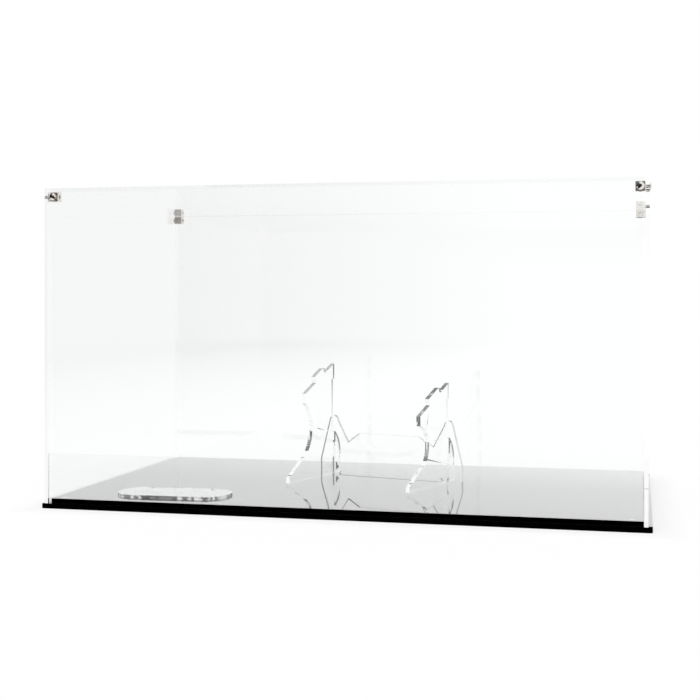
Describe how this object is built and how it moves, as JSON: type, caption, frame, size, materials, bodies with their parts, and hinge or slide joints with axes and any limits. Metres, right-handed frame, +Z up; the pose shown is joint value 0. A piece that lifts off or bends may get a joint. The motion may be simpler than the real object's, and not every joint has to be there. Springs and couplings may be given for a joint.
{
  "type": "acrylic display case",
  "caption": "Clear acrylic case with a lift-off cover on a stepped black base, a two-armed clear stand and a blank nameplate inside.",
  "frame": {"origin": "centre of the base's underside", "axes": "+X to the right along the length, seen from the front, +Y to the back, +Z up"},
  "size_m": [0.64, 0.4, 0.344],
  "materials": {
    "clear_acrylic": "polished clear",
    "black_acrylic": "polished black",
    "nickel": "bright nickel plate",
    "magnet": "satin nickel plate"
  },
  "bodies": {
    "base": {"lower_tier": "black_acrylic", "upper_tier": "black_acrylic", "lower_tier_magnets": "magnet", "upper_tier_magnets": "magnet"},
    "cover": {"front_panel": "clear_acrylic", "back_panel": "clear_acrylic", "left_panel": "clear_acrylic", "right_panel": "clear_acrylic", "top_panel": "clear_acrylic", "front_left_cube": "nickel", "front_right_cube": "nickel", "back_left_cube": "nickel", "back_right_cube": "nickel", "front_panel_screws": "nickel", "back_panel_screws": "nickel", "left_panel_screws": "nickel", "right_panel_screws": "nickel"},
    "stand": {"left_support": "clear_acrylic", "right_support": "clear_acrylic", "stand_rail": "clear_acrylic"},
    "nameplate_body": {"nameplate": "clear_acrylic"}
  },
  "joints": [
    {"name": "cover_lift", "type": "slide", "parent": "base", "child": "cover", "axis": [0, 0, 1], "range_m": [0, 0.2]},
    {"name": "stand_lift", "type": "slide", "parent": "base", "child": "stand", "axis": [0, 0, 1], "range_m": [0, 0.1]},
    {"name": "nameplate_lift", "type": "slide", "parent": "base", "child": "nameplate_body", "axis": [0, 0, 1], "range_m": [0, 0.05]}
  ]
}
